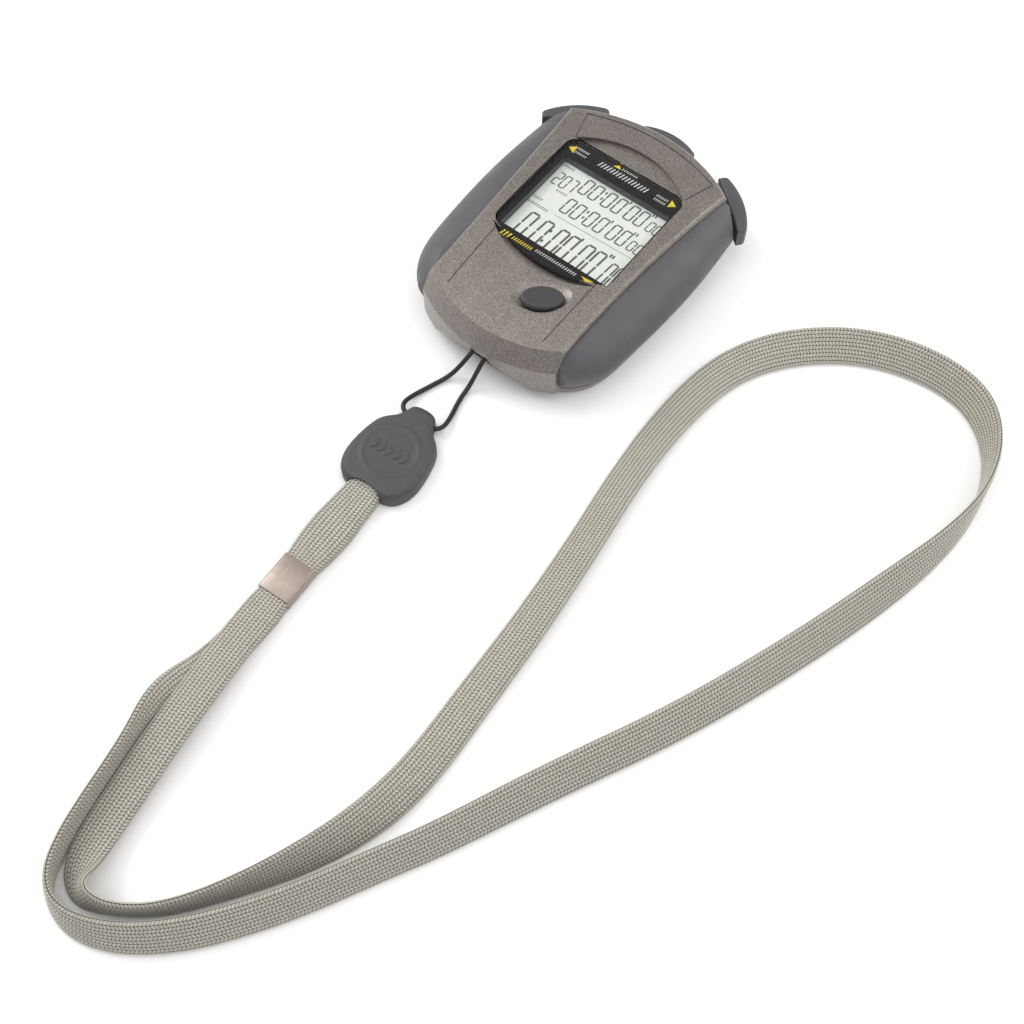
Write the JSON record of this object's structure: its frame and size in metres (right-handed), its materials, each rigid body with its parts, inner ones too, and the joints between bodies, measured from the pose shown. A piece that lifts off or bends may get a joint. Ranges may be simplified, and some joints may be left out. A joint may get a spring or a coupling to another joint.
{
  "type": "digital stopwatch",
  "caption": "Hand-held digital stopwatch with top push buttons, a face button, rubber side grips and a flat neck lanyard on a moulded tag.",
  "frame": {"origin": "middle of the watch's footprint on the surface that it lies on, lanyard left out", "axes": "+Z out of the display, +Y towards the edge with the push buttons, +X to the right when reading the display"},
  "size_m": [0.1592, 0.2523, 0.0205],
  "materials": {
    "case_shell": "fine metallic lacquer, satin",
    "grip_rubber": "satin",
    "button_rubber": "satin",
    "border_print": "gloss black print",
    "window_clear": "clear polished acrylic",
    "frame_plastic": "satin",
    "display_glass": "pale greenish display with grey segments",
    "reflector": "matte",
    "elastomer": "matte",
    "board": "semi-gloss solder mask",
    "potting": "gloss epoxy",
    "bright_steel": "bright",
    "buzzer_brass": "plain",
    "seal_rubber": "matte",
    "switch_plastic": "matte",
    "plunger_plastic": "matte",
    "cover_plastic": "satin",
    "cord_black": "matte braided",
    "tag_rubber": "matte moulded",
    "ferrule_metal": "satin nickel",
    "ribbon_weave": "matte herringbone braid"
  },
  "bodies": {
    "case": {"rear_case": "case_shell", "front_case": "case_shell", "left_grip": "grip_rubber", "right_grip": "grip_rubber", "window_border": "border_print", "display_window": "window_clear", "lcd_frame": "frame_plastic", "lcd_panel": "display_glass", "lcd_backing": "reflector", "connector_strips": "elastomer", "module_holder": "frame_plastic", "circuit_board": "board", "timing_chip": "potting", "quartz_crystal": "bright_steel", "piezo_buzzer": "buzzer_brass", "buzzer_spring": "bright_steel", "coin_battery": "bright_steel", "battery_contact_negative": "bright_steel", "battery_contact_positive": "bright_steel", "case_screws": "bright_steel", "case_gasket": "seal_rubber", "start_switch": "switch_plastic", "reset_switch": "switch_plastic", "recall_switch": "switch_plastic", "mode_switch": "switch_plastic", "lanyard_pin": "bright_steel", "strap_cord": "cord_black", "strap_tag": "tag_rubber", "ferrule": "ferrule_metal", "lanyard_ribbon": "ribbon_weave"},
    "start_button": {"start_button": "button_rubber", "start_seal": "seal_rubber", "start_plunger": "plunger_plastic"},
    "reset_button": {"reset_button": "button_rubber", "reset_seal": "seal_rubber", "reset_plunger": "plunger_plastic"},
    "recall_button": {"recall_button": "button_rubber", "recall_seal": "seal_rubber", "recall_plunger": "plunger_plastic"},
    "mode_button": {"mode_button": "button_rubber", "mode_plunger": "plunger_plastic"},
    "battery_cover": {"battery_cover": "cover_plastic", "cover_seal": "seal_rubber"}
  },
  "joints": [
    {"name": "start_press", "type": "slide", "parent": "case", "child": "start_button", "axis": [-0.6428, -0.766, 0], "range_m": [0, 0.0008], "stiffness_N_per_m": 400, "springref_m": -0.0006},
    {"name": "reset_press", "type": "slide", "parent": "case", "child": "reset_button", "axis": [0.6428, -0.766, 0], "range_m": [0, 0.0008], "stiffness_N_per_m": 400, "springref_m": -0.0006},
    {"name": "recall_press", "type": "slide", "parent": "case", "child": "recall_button", "axis": [0, -1, 0], "range_m": [0, 0.0008], "stiffness_N_per_m": 400, "springref_m": -0.0006},
    {"name": "mode_press", "type": "slide", "parent": "case", "child": "mode_button", "axis": [0, 0, -1], "range_m": [0, 0.0008], "stiffness_N_per_m": 400, "springref_m": -0.0006},
    {"name": "cover_turn", "type": "hinge", "parent": "case", "child": "battery_cover", "pos_m": [0, 0.008, 0.0006], "axis": [0, 0, -1], "range_deg": [0, 60]}
  ]
}
